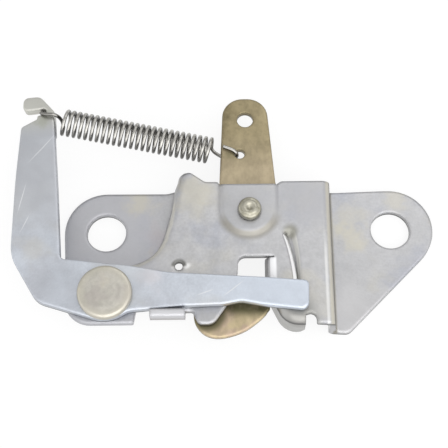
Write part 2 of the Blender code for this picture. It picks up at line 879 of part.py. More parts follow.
def kink(point):
    """Bend the end of the spring arm back about the crease."""
    start, along, side = kink_frame()
    place = Vector(point)
    run = KINK_R * KINK_ANGLE
    d = (place - start).dot(side) + run / 2
    if d <= 0:
        return point
    height = place.z - EJECTOR_FRONT
    angle = min(d, run) / KINK_R
    rest = max(0.0, d - run)
    shift = KINK_R * math.sin(angle) + rest * math.cos(angle) + height * math.sin(angle) - d
    drop = KINK_R * (1 - math.cos(angle)) + rest * math.sin(angle) + height * (1 - math.cos(angle))
    moved = place + side * shift - Vector((0.0, 0.0, drop))
    return tuple(moved)


def ejector_lever():
    """Make the bell crank blank and bend the end of its spring arm."""
    holes = [circle(EJECTOR_PIVOT, EJECTOR_SHOULDER_R + GAP, 40)]
    start, along, side = kink_frame()
    run = KINK_R * KINK_ANGLE
    creases = []
    for d in (-run / 2, 0.0, run / 2):
        a = start + side * d - along * 4.0
        b = start + side * d + along * 14.0
        creases.append(((a.x, a.y), (b.x, b.y)))
    origin = (EJECTOR_PIVOT[0], EJECTOR_PIVOT[1], (EJECTOR_BACK + EJECTOR_FRONT) / 2)
    return slab("ejector_lever", ejector_outline(), holes, EJECTOR_BACK, EJECTOR_FRONT, origin, creases, kink)


def crowned(radius, face, crown, corner, way):
    """Return a head's profile from its middle to its rim: a shallow crown, then a round corner."""
    flat = radius - corner
    profile = [(flat * share, face - way * crown * share ** 2) for share in (0.0, 0.5, 0.8)]
    for degrees in (90.0, 67.5, 45.0, 22.5, 0.0):
        a = math.radians(degrees)
        lift = corner * (math.sin(a) - 1.0) - crown
        profile.append((flat + corner * math.cos(a), face + way * lift))
    return profile


def ejector_rivet():
    """Make the shouldered rivet whose wide flat head holds the ejector lever."""
    head = EJECTOR_FRONT + GAP
    back = PANEL_BACK - GAP
    profile = crowned(EJECTOR_HEAD_R, head + EJECTOR_HEAD_T, EJECTOR_CROWN, EJECTOR_CORNER, 1.0)
    profile += [
        (EJECTOR_HEAD_R, head + RIVET_CHAMFER),
        (EJECTOR_HEAD_R - RIVET_CHAMFER, head),
        (EJECTOR_SHOULDER_R, head),
        (EJECTOR_SHOULDER_R, PANEL_FRONT + GAP),
        (EJECTOR_NECK_R, PANEL_FRONT + GAP),
        (EJECTOR_NECK_R, back),
        (EJECTOR_BACK_HEAD_R - RIVET_CHAMFER, back),
        (EJECTOR_BACK_HEAD_R, back - RIVET_CHAMFER),
    ]
    under = back - EJECTOR_BACK_HEAD_T
    profile += crowned(EJECTOR_BACK_HEAD_R, under, 0.0, EJECTOR_BACK_CORNER, -1.0)[::-1]
    item = lathe("ejector_rivet", profile, EJECTOR_PIVOT, 48)
    weld(item)
    return item


def catch_rivet():
    """Make the shouldered rivet of the catch, peened over the boss with a punch mark."""
    head = BOSS_FRONT + GAP
    top = head + CATCH_PEEN_T
    shoulder = BOSS_BACK - GAP
    back = CATCH_BACK - GAP
    profile = [
        (0.0, top - PUNCH_DEPTH),
        (PUNCH_R * 0.35, top - PUNCH_DEPTH * 0.8),
        (PUNCH_R * 0.75, top - PUNCH_DEPTH * 0.18),
        (PUNCH_R, top),
    ]
    profile += crowned(CATCH_PEEN_R, top, CATCH_PEEN_CROWN, CATCH_PEEN_CORNER, 1.0)[2:]
    profile += [
        (CATCH_PEEN_R, head + RIVET_CHAMFER),
        (CATCH_PEEN_R - RIVET_CHAMFER, head),
        (CATCH_NECK_R, head),
        (CATCH_NECK_R, shoulder),
        (CATCH_SHOULDER_R, shoulder),
        (CATCH_SHOULDER_R, back),
        (CATCH_BACK_HEAD_R - RIVET_CHAMFER, back),
        (CATCH_BACK_HEAD_R, back - RIVET_CHAMFER),
    ]
    profile += crowned(CATCH_BACK_HEAD_R, back - CATCH_BACK_HEAD_T, 0.0, CATCH_BACK_CORNER, -1.0)[::-1]
    item = lathe("catch_rivet", profile, CATCH_PIVOT, 40)
    weld(item)
    return item


def catch_spacer():
    """Make the washer that fills the pocket between the boss and the catch."""
    low = CATCH_FRONT + GAP
    high = BOSS_BACK - GAP
    bore = CATCH_SHOULDER_R + GAP
    profile = [
        (bore, low),
        (SPACER_R - SPACER_CHAMFER, low),
        (SPACER_R, low + SPACER_CHAMFER),
        (SPACER_R, high - SPACER_CHAMFER),
        (SPACER_R - SPACER_CHAMFER, high),
        (bore, high),
    ]
    item = lathe("catch_spacer", profile, CATCH_PIVOT, 40)
    weld(item)
    return item


def coil_path():
    """Return the left-handed coil, from its front at the neck to its back at the catch."""
    left = Vector(COIL_LEFT)
    right = Vector(COIL_RIGHT)
    axis = (right - left).normalized()
    up = (Vector((0.0, 0.0, 1.0)) - axis * axis.z).normalized()
    side = axis.cross(up)
    total = round(COIL_TURNS * COIL_STEPS)
    coil = []
    for i in range(total + 1):
        a = 2 * math.pi * i / COIL_STEPS
        place = left.lerp(right, i / total)
        coil.append(place + (up * math.cos(a) - side * math.sin(a)) * COIL_R)
    return coil


def spring_path():
    """Return the middle line of the spring wire, from the neck hook to the catch hook."""
    coil = coil_path()
    neck = Vector(kink((THROAT_X, THROAT_Y, (EJECTOR_FRONT + EJECTOR_BACK) / 2)))
    eye = Vector((*CATCH_SPRING_HOLE, (CATCH_FRONT + CATCH_BACK) / 2))
    start = [tuple(neck + Vector(p)) for p in NECK_HOOK]
    end = [tuple(eye + Vector(p)) for p in CATCH_HOOK]
    path = smooth([*start, tuple(coil[0])], 0.8)[:-1]
    path += [tuple(p) for p in coil]
    path += smooth([tuple(coil[-1]), *end], 0.8)[1:]
    return [Vector(p) for p in path]


def tube(path, radius, count):
    """Return the points and faces of a round wire along a path."""
    points = []
    faces = []
    last = len(path) - 1
    tangent = (path[1] - path[0]).normalized()
    side = tangent.orthogonal().normalized()
    for i, place in enumerate(path):
        fresh = (path[min(i + 1, last)] - path[max(i - 1, 0)]).normalized()
        side = (side - fresh * side.dot(fresh)).normalized()
        up = fresh.cross(side)
        for k in range(count):
            a = 2 * math.pi * k / count
            points.append(tuple(place + (side * math.cos(a) + up * math.sin(a)) * radius))
    for i in range(last):
        for k in range(count):
            n = (k + 1) % count
            faces.append((i * count + k, i * count + n, (i + 1) * count + n, (i + 1) * count + k))
    faces.append(tuple(range(count))[::-1])
    faces.append(tuple(last * count + k for k in range(count)))
    return points, faces


def tension_spring():
    """Make the coil spring with its two hooked ends."""
    points, faces = tube(spring_path(), WIRE_R, WIRE_SIDES)
    item = add_mesh("tension_spring", points, faces, COIL_LEFT)
    weld(item)
    return item


def centre_on_origin(items):
    """Hang every piece on one empty, so that the middle of the latch is over the origin."""
    depsgraph = bpy.context.evaluated_depsgraph_get()
    xs = []
    ys = []
    for item in items:
        ready = item.evaluated_get(depsgraph)
        for corner in ready.bound_box:
            place = item.matrix_world @ Vector(corner)
            xs.append(place.x)
            ys.append(place.y)
    root = bpy.data.objects.new("latch_frame", None)
    bpy.context.scene.collection.objects.link(root)
    for item in items:
        item.parent = root
    root.location = (-(min(xs) + max(xs)) / 2, -(min(ys) + max(ys)) / 2, 0.0)
    print("shift", [round(v / MM, 4) for v in root.location])


def build():
    """Make the whole latch."""
    clear_scene()
    items = [
        base_plate(),
        ejector_lever(),
        catch_lever(),
        tension_spring(),
        ejector_rivet(),
        catch_rivet(),
        catch_spacer(),
    ]
    bpy.context.view_layer.update()
    centre_on_origin(items)
    bpy.context.view_layer.update()


build()
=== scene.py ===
"""Looks of the bonnet latch: plated steel, a fine spring, soft studio light and the photograph's view."""
import math

import bpy
from mathutils import Matrix, Vector


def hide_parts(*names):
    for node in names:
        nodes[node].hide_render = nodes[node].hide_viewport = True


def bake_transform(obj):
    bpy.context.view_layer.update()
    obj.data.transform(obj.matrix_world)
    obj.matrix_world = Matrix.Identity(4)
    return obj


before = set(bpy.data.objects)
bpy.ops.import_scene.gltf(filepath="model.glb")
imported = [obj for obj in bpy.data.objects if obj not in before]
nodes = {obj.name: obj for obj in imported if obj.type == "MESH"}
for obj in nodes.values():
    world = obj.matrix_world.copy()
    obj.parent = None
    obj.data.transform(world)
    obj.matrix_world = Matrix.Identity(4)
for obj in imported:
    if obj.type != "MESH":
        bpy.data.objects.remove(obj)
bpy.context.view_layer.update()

MM = 0.001

# the drawing's datum, midway between the mounting holes, in the row frame
DATUM = Vector((6.2899, -3.1221, 0.0)) * MM

# pivots and the small dished hole, in millimetres from the datum
EJECTOR_PIVOT = (-38.6, -21.7)
CATCH_PIVOT = (0.2, 2.6)
SMALL_HOLE = (-19.2, -13.1)

# camera: picture size and focal length in pixels, sensor and place in millimetres
IMAGE = 448
SENSOR = 36.0
FOCAL_PX = 1100.0
TILT = math.radians(21.0)
ROLL = math.radians(0.6)
CAMERA_PLACE = (-6.863, -109.170, 292.624)

# light: strengths of the sky's parts, their directions, and the cosines between which each part fades in
SIDE_LIGHT = 1.2
BACK_LIGHT = 0.5
BACK_WAY = (0.0, 1.0, 0.0)
BACK_FADE = (0.3, 0.8)
TOP_LIGHT = 0.80
TOP_WAY = (0.0, 0.36, 0.93)
TOP_FADE = (0.35, 0.95)
FRONT_LIGHT = 2.4
FRONT_WAY = (0.25, -0.68, 0.69)
FRONT_FADE = (0.6, 0.92)
LAMP_PLACE = (0.16, 0.42, 0.50)
LAMP_SIZE = 0.4
LAMP_POWER = 0.5

# floor, in metres: it lies a hair under the latch, and glows white for the camera
FLOOR_HALF = 1.5
FLOOR_Z = -0.0002
FLOOR_TONE = 0.88
FLOOR_GLOW = 0.86

# plated steel: how metallic it is, also under the painted highlights on the guide bend and flap, and the
# painted shade that darkens upright faces
METALLIC = 0.85
PAINTED_HIGHLIGHT_METALLIC = 0.25
UPRIGHT_PAINTED_SHADE = 0.8

# spring, in millimetres from the datum; turns count from COIL_LEFT, and the coil starts half a turn before it
WIRE_R = 0.50
COIL_R = 3.4
COIL_TURNS = 25.4
COIL_START = -0.5
COIL_LEFT = (-51.4, 29.79, 11.94)
COIL_RIGHT = (-10.36, 22.33, 8.2)
PER_TURN = 28
WIRE_SIDES = 12
WIRE_STEP = 0.3

# the spring's hooks, as offsets from the throat's end and from the catch's spring hole
THROAT = (-56.77, 32.96, 11.52)
CATCH_HOLE = (-2.2, 21.15, 7.5)
NECK_HOOK = [
    (1.5, -0.5, -2.15),
    (0.6, -0.3, -2.2),
    (-0.6, 0.0, -1.9),
    (-1.5, 0.1, -0.8),
    (-1.75, -0.1, 0.6),
    (-1.3, -0.8, 1.9),
    (0.0, -1.4, 2.4),
    (1.3, -1.5, 2.6),
    (2.4, -1.6, 2.5),
    (3.5, -1.9, 1.5),
    (4.1, -2.1, -0.7),
]
CATCH_HOOK = [
    (-7.2, 1.9, -1.9),
    (-5.3, 0.5, -1.72),
    (-3.8, 0.1, -1.7),
    (-2.2, 0.0, -1.7),
    (-1.05, 0.0, -1.2),
    (-0.75, 0.0, 0.0),
    (-1.05, 0.25, 1.3),
    (-2.0, 0.95, 1.72),
    (-4.7, 2.1, 1.7),
]


def at(x, y, z=0.0):
    """Return a drawing point in the row frame, in metres."""
    return Vector((x, y, z)) * MM + DATUM


def make_camera():
    """Put the camera where the photograph's perspective says, tilted towards the striker slot's mouth."""
    data = bpy.data.cameras.new("camera")
    data.sensor_width = SENSOR
    data.lens = data.sensor_width * FOCAL_PX / IMAGE
    data.clip_start = 0.01
    data.clip_end = 10.0
    item = bpy.data.objects.new("camera", data)
    bpy.context.scene.collection.objects.link(item)
    right = Vector((1.0, 0.0, 0.0))
    up = Vector((0.0, math.cos(TILT), math.sin(TILT)))
    back = Vector((0.0, -math.sin(TILT), math.cos(TILT)))
    side = right * math.cos(ROLL) - up * math.sin(ROLL)
    top = right * math.sin(ROLL) + up * math.cos(ROLL)
    turn = Matrix((side, top, back)).transposed()
    item.matrix_world = Matrix.Translation(at(*CAMERA_PLACE)) @ turn.to_4x4()
    bpy.context.scene.camera = item


class Finish:
    """A material and a short way to write its nodes."""

    def __init__(self, name):
        self.material = bpy.data.materials.new(name)
        self.material.use_nodes = True
        self.tree = self.material.node_tree
        self.shader = self.tree.nodes["Principled BSDF"]
        self.colour = None
        self.rough = None
        self.normal = None

    def add(self, kind, **settings):
        """Add a node with its settings."""
        node = self.tree.nodes.new(kind)
        for key, value in settings.items():
            setattr(node, key, value)
        return node

    def put(self, value, socket):
        """Give a socket a value, or join an output to it."""
        if isinstance(value, bpy.types.NodeSocket):
            self.tree.links.new(value, socket)
        elif isinstance(value, tuple) and len(socket.default_value) == 4:
            socket.default_value = (*value, 1.0)
        else:
            socket.default_value = value

    def point(self):
        """Return the surface point in the row frame, in metres."""
        return self.add("ShaderNodeTexCoord").outputs["Object"]

    def noise(self, scale, detail=4.0, rough=0.5, stretch=(1.0, 1.0, 1.0), turn=0.0):
        """Return a noise over the surface; the scale is in waves per metre."""
        mapping = self.add("ShaderNodeMapping")
        mapping.inputs["Scale"].default_value = stretch
        mapping.inputs["Rotation"].default_value = (0.0, 0.0, turn)
        self.put(self.point(), mapping.inputs["Vector"])
        texture = self.add("ShaderNodeTexNoise")
        texture.inputs["Scale"].default_value = scale
        texture.inputs["Detail"].default_value = detail
        texture.inputs["Roughness"].default_value = rough
        self.put(mapping.outputs["Vector"], texture.inputs["Vector"])
        return texture.outputs["Fac"]

    def spread(self, value, start, stop, low, high):
        """Return the value mapped from start..stop to low..high."""
        node = self.add("ShaderNodeMapRange", interpolation_type="SMOOTHSTEP")
        for key, number in (("From Min", start), ("From Max", stop), ("To Min", low), ("To Max", high)):
            node.inputs[key].default_value = number
        self.put(value, node.inputs["Value"])
        return node.outputs["Result"]

    def maths(self, operation, first, second=0.0):
        """Return a sum, product or other result of two values."""
        node = self.add("ShaderNodeMath", operation=operation)
        self.put(first, node.inputs[0])
        self.put(second, node.inputs[1])
        return node.outputs[0]

    def product(self, first, *others):
        """Return the product of masks, one node for each pair."""
        for other in others:
            first = self.maths("MULTIPLY", first, other)
        return first

    def mix(self, factor, first, second, kind="MIX"):
        """Return two colours mixed."""
        node = self.add("ShaderNodeMix", data_type="RGBA", blend_type=kind)
        self.put(factor, node.inputs[0])
        self.put(first, node.inputs[6])
        self.put(second, node.inputs[7])
        return node.outputs[2]

    def near(self, centre, radius, fade, stretch=(1.0, 1.0, 1.0), turn=0.0, ragged=0.0, inside=1.0):
        """Return one value inside a radius of a drawing point and its opposite outside; millimetres."""
        mapping = self.add("ShaderNodeMapping", vector_type="TEXTURE")
        mapping.inputs["Location"].default_value = at(*centre)
        mapping.inputs["Rotation"].default_value = (0.0, 0.0, turn)
        mapping.inputs["Scale"].default_value = stretch
        self.put(self.point(), mapping.inputs["Vector"])
        length = self.add("ShaderNodeVectorMath", operation="LENGTH")
        self.put(mapping.outputs["Vector"], length.inputs[0])
        away = length.outputs["Value"]
        if ragged:
            wobble = self.spread(self.noise(160.0, 4.0, 0.6), 0.25, 0.75, -ragged * MM, ragged * MM)
            away = self.maths("ADD", away, wobble)
        return self.spread(away, (radius - fade) * MM, (radius + fade) * MM, inside, 1.0 - inside)

    def ring(self, centre, inner, outer):
        """Return one between two radii of a drawing point; each radius comes with its fade."""
        return self.product(self.near(centre, *outer), self.near(centre, *inner, inside=0.0))

    def along(self, axis, start, stop, low, high):
        """Return a value that runs from low to high between two drawing coordinates, in millimetres."""
        parts = self.add("ShaderNodeSeparateXYZ")
        self.put(self.point(), parts.inputs[0])
        shift = DATUM["XYZ".index(axis)]
        return self.spread(parts.outputs[axis], start * MM + shift, stop * MM + shift, low, high)

    def band(self, axis, rise, fall, high=1.0):
        """Return a value that is high between two fades along an axis, and zero beyond them."""
        return self.product(self.along(axis, *rise, 0.0, high), self.along(axis, *fall, 1.0, 0.0))

    def steepness(self, start, stop, low, high):
        """Return low on upright faces and high on level ones, by the height of the unit normal."""
        parts = self.add("ShaderNodeSeparateXYZ")
        self.put(self.add("ShaderNodeTexCoord").outputs["Normal"], parts.inputs[0])
        return self.spread(self.maths("ABSOLUTE", parts.outputs["Z"]), start, stop, low, high)

    def upright(self):
        """Return one on the cut edges and zero on level faces."""
        return self.steepness(0.2, 0.6, 1.0, 0.0)

    def corner(self, radius):
        """Return a normal that rounds every sharp corner by a radius in millimetres."""
        node = self.add("ShaderNodeBevel", samples=6)
        node.inputs["Radius"].default_value = radius * MM
        return node.outputs["Normal"]

    def shade(self, colour, tone):
        """Return a colour multiplied by a plain value."""
        grey = self.add("ShaderNodeCombineColor")
        for socket in grey.inputs:
            self.put(tone, socket)
        return self.mix(1.0, colour, grey.outputs[0], "MULTIPLY")

    def paint(self, mask, colour, strength=None):
        """Tint the finish inside a mask."""
        if strength is not None:
            mask = self.maths("MULTIPLY", mask, strength)
        self.colour = self.mix(mask, self.colour, colour)

    def stain_and_shade(self, centre, radius, fade, colour, strength, ragged=0.0):
        """Tint the finish round a drawing point."""
        self.paint(self.near(centre, radius, fade, ragged=ragged), colour, strength)

    def bump(self, height, depth, after=None):
        """Roughen the surface by a height, its depth in millimetres."""
        node = self.add("ShaderNodeBump")
        node.inputs["Distance"].default_value = depth * MM
        self.put(height, node.inputs["Height"])
        if after:
            self.put(after, node.inputs["Normal"])
        return node.outputs["Normal"]


def plated(name, colours, rough, patch=70.0, seed_turn=0.0, warm_share=0.6, corner=0.0):
    """Return a finish of plated pressed steel: cloudy tints, fine grain, handling marks, and painted shade on
    upright faces.
    """
    m = Finish(name)
    dark, plain, warm = colours
    clouds = m.noise(patch, 5.0, 0.55, turn=seed_turn)
    colour = m.mix(m.spread(clouds, 0.36, 0.52, 0.0, 1.0), dark, plain)
    tints = m.noise(patch * 0.8, 4.0, 0.5, (1.0, 1.3, 1.0), seed_turn + 1.1)
    colour = m.mix(m.spread(tints, 0.54, 0.72, 0.0, warm_share), colour, warm)
    fine = m.noise(1500.0, 3.0, 0.65)
    colour = m.shade(colour, m.spread(fine, 0.3, 0.7, 0.95, 1.05))
    colour = m.shade(colour, m.spread(m.noise(380.0, 3.0, 0.6), 0.3, 0.7, 0.965, 1.035))
    # painted shade: upright faces darker than level ones
    m.colour = m.shade(colour, m.steepness(0.25, 0.9, UPRIGHT_PAINTED_SHADE, 1.0))
    smear = m.noise(patch * 2.6, 4.0, 0.6, turn=seed_turn)
    m.rough = m.spread(smear, 0.3, 0.7, rough - 0.07, rough + 0.08)
    ripple = m.noise(260.0, 3.0, 0.5)
    m.normal = m.bump(fine, 0.006, m.bump(ripple, 0.012, m.corner(corner) if corner else None))
    m.shader.inputs["Metallic"].default_value = METALLIC
    return m


def finished(m):
    """Join a finish's colour, roughness and normal to its shader."""
    m.put(m.colour, m.shader.inputs["Base Color"])
    m.put(m.rough, m.shader.inputs["Roughness"])
    m.put(m.normal, m.shader.inputs["Normal"])
    return m.material


LILAC = (0.420, 0.428, 0.462)
ZINC = (0.475, 0.475, 0.484)
STRAW = (0.570, 0.540, 0.445)

# stains on the base plate: centre, radius, fade, colour, strength
PLATE_CLOUDS = [
    ((-14.5, 8.0, 10.0), 5.5, 4.0, STRAW, 0.6),
    ((29.0, -2.3, 2.0), 3.0, 2.8, STRAW, 0.6),
    ((28.4, 4.0, 2.0), 2.8, 2.7, STRAW, 0.4),
    ((42.5, 8.9, 2.0), 2.2, 2.1, STRAW, 0.4),
    ((-30.5, 9.5, 2.0), 3.2, 2.6, STRAW, 0.6),
    ((-25.5, -1.0, 2.0), 3.0, 2.5, (0.52, 0.45, 0.44), 0.3),
    ((-30.0, -6.0, 8.0), 4.0, 3.0, STRAW, 0.3),
]

# tones of the stop tab, the right ear's foot, the panel's upper right and the boss
PLATE_TONES = [
    ((-22.0, -27.5, 13.5), 6.5, 1.0, (0.62, 0.62, 0.64), 0.75),
    ((27.0, -24.0, 2.0), 7.0, 5.0, (0.56, 0.555, 0.56), 0.6),
    ((17.0, 7.0, 11.0), 8.0, 5.0, (0.405, 0.407, 0.430), 0.75),
    ((0.0, 5.0, 12.0), 9.0, 1.2, (0.420, 0.422, 0.434), 0.6),
]


def paint_left_bend_highlight(m):
    """Paint a highlight on the upper bend beside the left ear."""
    bend = m.product(
        m.steepness(0.35, 0.75, 0.0, 1.0),
        m.steepness(0.86, 0.99, 1.0, 0.0),
        m.along("Z", 9.0, 9.8, 0.0, 1.0),
        m.along("X", -20.8, -20.0, 1.0, 0.0),
    )
    m.paint(bend, (0.70, 0.67, 0.57), 0.45)


def paint_small_hole_shade_and_highlight(m):
    """Paint shade on the upper side of the small hole's dish, and a painted highlight on its right."""
    spark = m.near((-17.0, -13.1, 11.0), 0.9, 0.7, (1.0, 0.7, 1.0), 0.6)
    m.paint(spark, (0.90, 0.90, 0.89), 0.8)
    arch = m.product(m.near((*SMALL_HOLE, 10.6), 2.1, 0.4), m.along("Y", -13.5, -12.6, 0.0, 1.0))
    m.paint(arch, (0.10, 0.10, 0.09), 0.8)


def paint_right_bend_glint_straw_and_shadow(m):
    """Give the bend beside the right ear a painted glint highlight, a straw band behind it, and a painted
    shadow at its foot.
    """
    glint = m.product(m.band("X", (20.1, 20.6), (20.9, 21.4), 0.6), m.along("Y", -2.0, -12.0, 0.0, 1.0))
    m.paint(glint, (0.80, 0.80, 0.79))
    straw = m.product(m.along("X", 21.0, 21.8, 0.0, 0.7), m.along("Z", 9.0, 10.0, 0.0, 1.0))
    m.paint(straw, (0.560, 0.530, 0.440))
    foot = m.product(m.band("X", (22.3, 22.8), (23.4, 24.1), 0.75), m.along("Z", 2.6, 4.2, 1.0, 0.0))
    m.paint(foot, (0.22, 0.20, 0.15))


def paint_stop_tab_shade(m):
    """Paint shade on the lower part of the stop tab's front."""
    front = m.product(m.near((-22.0, -28.5, 12.5), 6.5, 1.0), m.steepness(0.3, 0.8, 1.0, 0.0))
    m.paint(m.product(front, m.along("Z", 13.6, 11.6, 0.0, 0.9)), (0.40, 0.385, 0.385))


def paint_boss_ring_shadow(m):
    """Paint shadow in the hollow round the lower side of the boss."""
    ring = m.ring((0.0, 3.4, 11.0), (6.9, 0.4), (8.9, 1.0))
    m.paint(m.product(ring, m.along("Y", 3.0, -1.5, 0.0, 0.85)), (0.29, 0.275, 0.24))


def paint_tongue_shade(m):
    """Paint shade on the tongue so it is darker than the panel, and darker still on its lip."""
    m.paint(m.near((11.5, -28.0, 6.0), 7.5, 1.5, (1.0, 1.0, 1.6)), (0.40, 0.398, 0.385))
    lip = m.product(m.near((12.6, -26.9, 10.0), 3.8, 1.4), m.along("X", 8.4, 10.4, 0.2, 1.0))
    m.paint(lip, (0.30, 0.295, 0.28), 0.9)


def tear_plate_edges_and_shade_hole(m):
    """Darken the torn lower part of the cut edges, and paint shade on the wall of the pierced hole."""
    ear = m.along("Z", 0.65, 0.95, 1.0, 0.0)
    off_slit = m.near((11.5, -12.0, 10.0), 3.2, 0.4, (1.0, 3.6, 1.0), inside=0.0)
    panel = m.product(m.band("Z", (8.7, 8.9), (9.6, 9.9)), m.along("X", -18.0, -17.0, 0.0, 1.0), off_slit)
    # painted shade on the small hole's wall
    hole = m.near((*SMALL_HOLE, 9.8), 1.6, 0.2, (1.0, 1.0, 3.0))
    torn = m.maths("MAXIMUM", m.maths("MAXIMUM", ear, panel), hole)
    m.paint(m.product(torn, m.upright()), (0.10, 0.10, 0.10))


def paint_flap_light_and_shade(m):
    """Paint light on the pressed flap and painted shade at its upper end; return the flap's mask."""
    flap = m.product(
        m.ring((*EJECTOR_PIVOT, 10.0), (51.2, 0.2), (55.6, 0.3)),
        m.along("X", 8.0, 11.0, 0.0, 1.0),
        m.steepness(0.75, 0.98, 1.0, 0.0),
        m.along("Y", -20.0, -18.0, 0.0, 1.0),
    )
    m.paint(flap, (0.56, 0.555, 0.53))
    # painted light on the flap's steep faces
    m.paint(m.product(flap, m.steepness(0.1, 0.4, 1.0, 0.0)), (0.95, 0.95, 0.93))
    # painted shade at the flap's upper end
    m.stain_and_shade((11.3, -3.3, 10.3), 2.0, 0.9, (0.25, 0.245, 0.205), 0.8)
    return flap


def paint_guide_bend_highlight(m):
    """Paint a highlight on the bend that the striker slides along; return its mask."""
    guide_highlight = m.product(
        m.band("X", (5.4, 5.6), (6.9, 7.5)),
        m.along("Z", 6.6, 8.2, 0.0, 1.0),
        m.band("Y", (-24.0, -21.0), (-11.2, -10.4)),
    )
    m.paint(guide_highlight, (0.80, 0.80, 0.81))
    return guide_highlight


def base_plate_finish():
    """Zinc plate, lilac-grey with straw-coloured clouds, with painted highlights and shade on its bends,
    small hole, stop tab, boss, tongue and flap.
    """
    m = plated("zinc_plate", (LILAC, ZINC, STRAW), 0.40, warm_share=0.35, corner=1.3)
    m.paint(m.along("X", -20.0, -32.0, 0.0, 0.7), (0.450, 0.452, 0.480))
    for cloud in PLATE_CLOUDS:
        m.stain_and_shade(*cloud, ragged=3.0)
    paint_left_bend_highlight(m)
    paint_small_hole_shade_and_highlight(m)
    for tone in PLATE_TONES:
        m.stain_and_shade(*tone)
    paint_right_bend_glint_straw_and_shadow(m)
    paint_stop_tab_shade(m)
    paint_boss_ring_shadow(m)
    paint_tongue_shade(m)
    tear_plate_edges_and_shade_hole(m)
    flap = paint_flap_light_and_shade(m)
    # the painted guide highlight and the painted flap light are also less metallic
    painted_light_mask = m.maths("MAXIMUM", paint_guide_bend_highlight(m), flap)
    m.put(m.spread(painted_light_mask, 0.0, 1.0, METALLIC, PAINTED_HIGHLIGHT_METALLIC), m.shader.inputs["Metallic"])
    return finished(m)


BLUE_DARK = (0.490, 0.508, 0.550)
BLUE = (0.550, 0.582, 0.635)
BLUE_STRAW = (0.560, 0.545, 0.505)

# stains on the ejector lever, and a painted shadow of the spring's hook on the neck: centre, radius, fade,
# colour, strength
EJECTOR_STAINS_AND_SHADOW = [
    ((-58.0, -9.0, 14.0), 3.5, 3.0, BLUE_STRAW, 0.45),
    ((-26.5, -17.5, 14.0), 2.5, 2.2, (0.62, 0.55, 0.54), 0.45),
    # painted shadow of the spring's hook wire on the neck
    ((-57.5, 30.5, 12.0), 2.2, 1.2, (0.41, 0.42, 0.36), 0.7),
    ((-51.0, -20.0, 14.0), 6.0, 4.0, (0.44, 0.46, 0.50), 0.5),
    ((-31.5, -17.0, 14.0), 6.0, 4.0, (0.60, 0.64, 0.70), 0.4),
]

# scratches on the ejector lever: x, y, half length, turn in degrees
EJECTOR_SCRATCHES = [
    (-57.6, 20.9, 4.6, 50.0),
    (-62.2, 6.0, 4.0, 78.0),
    (-61.0, -1.5, 2.5, 66.0),
    (-12.0, -21.5, 2.2, 20.0),
    (-4.5, -20.5, 3.0, 38.0),
]
SCRATCH_HALF_WIDTH = 0.14
SCRATCH_REACH = 30.0


def tear_ejector_edges(m):
    """Darken the torn lower part of the cut edge, except up the spring arm and over the stop tab."""
    torn = m.product(
        m.upright(),
        m.along("Z", 12.1, 12.5, 1.0, 0.0),
        m.along("Y", 12.0, 18.0, 1.0, 0.0),
        m.near((-22.0, -26.0, 12.5), 6.0, 0.8, inside=0.0),
    )
    m.paint(torn, (0.14, 0.15, 0.16))


def ejector_lever_finish():
    """Blue-white zinc plate, greyer up the spring arm, with stains, scratches and a painted shadow of the
    spring's hook.
    """
    m = plated("blue_zinc_plate", (BLUE_DARK, BLUE, BLUE_STRAW), 0.38, patch=60.0, seed_turn=0.7,
               warm_share=0.4, corner=0.9)
    m.paint(m.along("Y", -12.0, 8.0, 0.0, 0.8), (0.465, 0.478, 0.505))
    m.paint(m.along("Y", 24.0, 33.0, 0.0, 0.85), (0.560, 0.555, 0.500))
    m.paint(m.along("X", -20.0, 5.0, 0.0, 0.6), (0.560, 0.612, 0.690))
    for stain_and_shade in EJECTOR_STAINS_AND_SHADOW:
        m.stain_and_shade(*stain_and_shade, ragged=2.0)
    for x, y, half, turn in EJECTOR_SCRATCHES:
        stretch = (half, SCRATCH_HALF_WIDTH, SCRATCH_REACH)
        m.paint(m.near((x, y, 14.0), 1.0, 0.5, stretch, math.radians(turn)), (0.72, 0.73, 0.75), 0.7)
    tear_ejector_edges(m)
    return finished(m)


OLIVE_DARK = (0.200, 0.166, 0.094)
OLIVE = (0.290, 0.243, 0.145)
OLIVE_PINK = (0.440, 0.350, 0.250)


def gild_hook(m):
    """Turn the catch's hook golden and pink."""
    patches = m.spread(m.noise(220.0, 3.0), 0.4, 0.6, 0.0, 1.0)
    golden = m.mix(patches, (0.52, 0.43, 0.27), (0.50, 0.39, 0.29))
    m.paint(m.along("Y", -20.0, -24.0, 0.0, 0.95), golden)


def paint_hook_shadow(m):
    """Paint the shadow on the hook where it comes out from under the ejector and beside the plate's left
    lobe.
    """
    ragged = m.spread(m.noise(330.0, 3.0, 0.6, (1.0, 0.7, 1.0)), 0.3, 0.6, 0.62, 1.0)
    below = m.product(m.band("Y", (-27.8, -24.6), (-20.0, -18.0), 0.95), ragged)
    beside = m.product(m.near((-11.6, -25.4, 8.5), 5.3, 1.0), 0.85)
    m.paint(m.maths("MAXIMUM", below, beside), (0.13, 0.12, 0.06))


def catch_lever_finish():
    """Olive chromate, turning golden and pink towards the hook, with painted shadows from the ejector, the
    plate's lobe and the spring's hook.
    """
    m = plated("olive_plate", (OLIVE_DARK, OLIVE, OLIVE_PINK), 0.38, patch=90.0, seed_turn=2.0, corner=0.9)
    m.paint(m.along("Y", 30.0, 12.0, 0.0, 0.75), (0.440, 0.368, 0.255))
    gild_hook(m)
    grain = m.noise(300.0, 4.0, 0.65, (1.0, 0.6, 1.0))
    m.colour = m.shade(m.colour, m.spread(grain, 0.3, 0.7, 0.85, 1.13))
    paint_hook_shadow(m)
    # painted shadow of the spring's hook wire on the catch, left of its hole
    m.paint(m.near((-4.6, 21.2, 8.5), 1.6, 1.0, (1.5, 1.0, 1.0), ragged=1.0), (0.160, 0.145, 0.075), 0.6)
    m.paint(m.product(m.upright(), m.along("Z", 7.1, 7.4, 1.0, 0.0)), (0.10, 0.085, 0.05))
    return finished(m)


